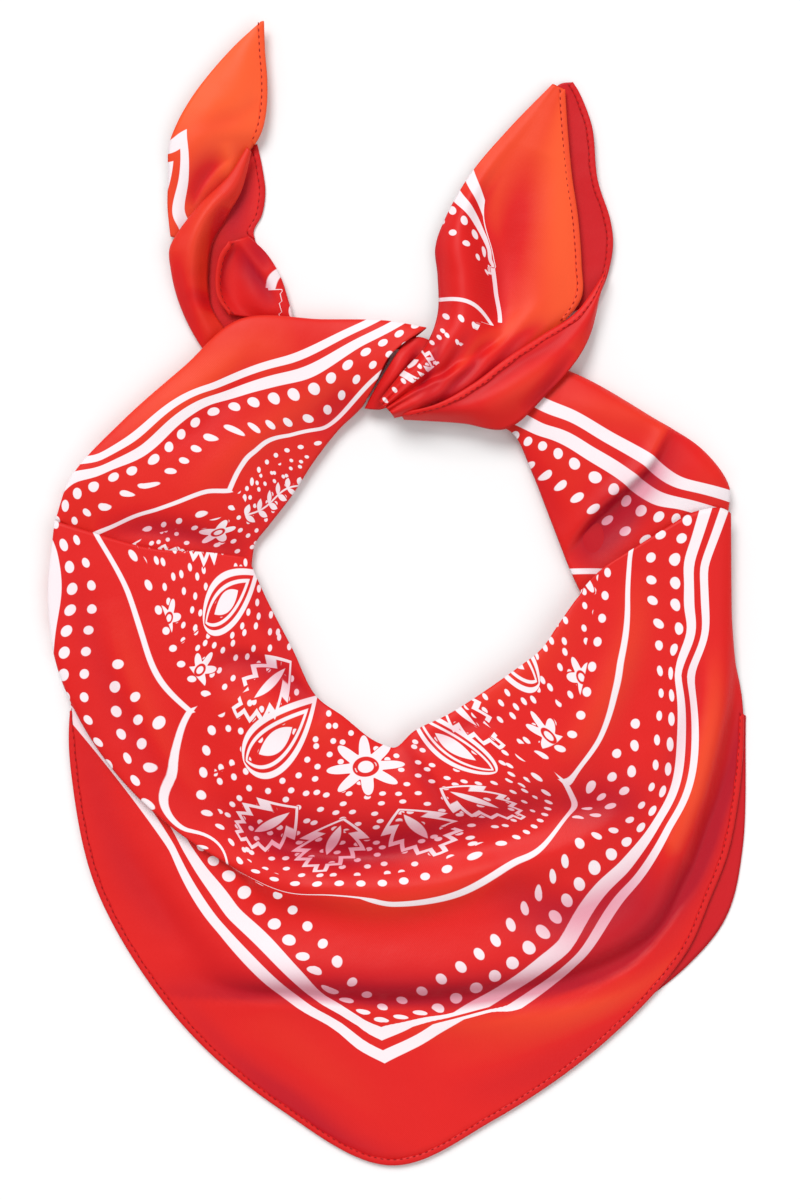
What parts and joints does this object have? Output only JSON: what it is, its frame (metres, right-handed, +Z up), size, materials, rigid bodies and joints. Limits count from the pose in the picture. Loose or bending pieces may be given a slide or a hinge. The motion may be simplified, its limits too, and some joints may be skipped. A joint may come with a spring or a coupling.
{
  "type": "bandana",
  "caption": "Square satin bandana folded corner to corner and tied in a neck loop, laid flat, with a draped swag front, a gathered knot and two free ends.",
  "frame": {"origin": "centre of the part's box at floor height, inside the loop", "axes": "+Z up from the surface it lies on, +Y from the pointed front towards the knot, +X to the right in the picture"},
  "size_m": [0.298, 0.4875, 0.0205],
  "materials": {
    "red_satin": "red printed satin, right side",
    "red_satin_reverse": "red satin, reverse side, in shade",
    "red_satin_single": "red satin, one layer that lets light through",
    "hem_satin": "turned and stitched red satin hem"
  },
  "bodies": {
    "root": {"left_band": "red_satin", "front_drape": "red_satin", "right_band": "red_satin", "back_half": "red_satin_reverse", "neck_folds": "red_satin_reverse", "tail_right_front": "red_satin_single", "tail_right_back": "red_satin_reverse", "tail_right_flap": "red_satin", "tail_left_leaf": "red_satin_single", "tail_left_back": "red_satin_reverse", "tail_left_roll": "red_satin", "tail_left_side": "red_satin", "knot_wrap": "red_satin", "hem_front": "hem_satin", "hem_tail_right": "hem_satin", "hem_tail_right_back": "hem_satin", "hem_tail_right_flap": "hem_satin", "hem_tail_left": "hem_satin", "hem_tail_left_back": "hem_satin"}
  },
  "joints": []
}
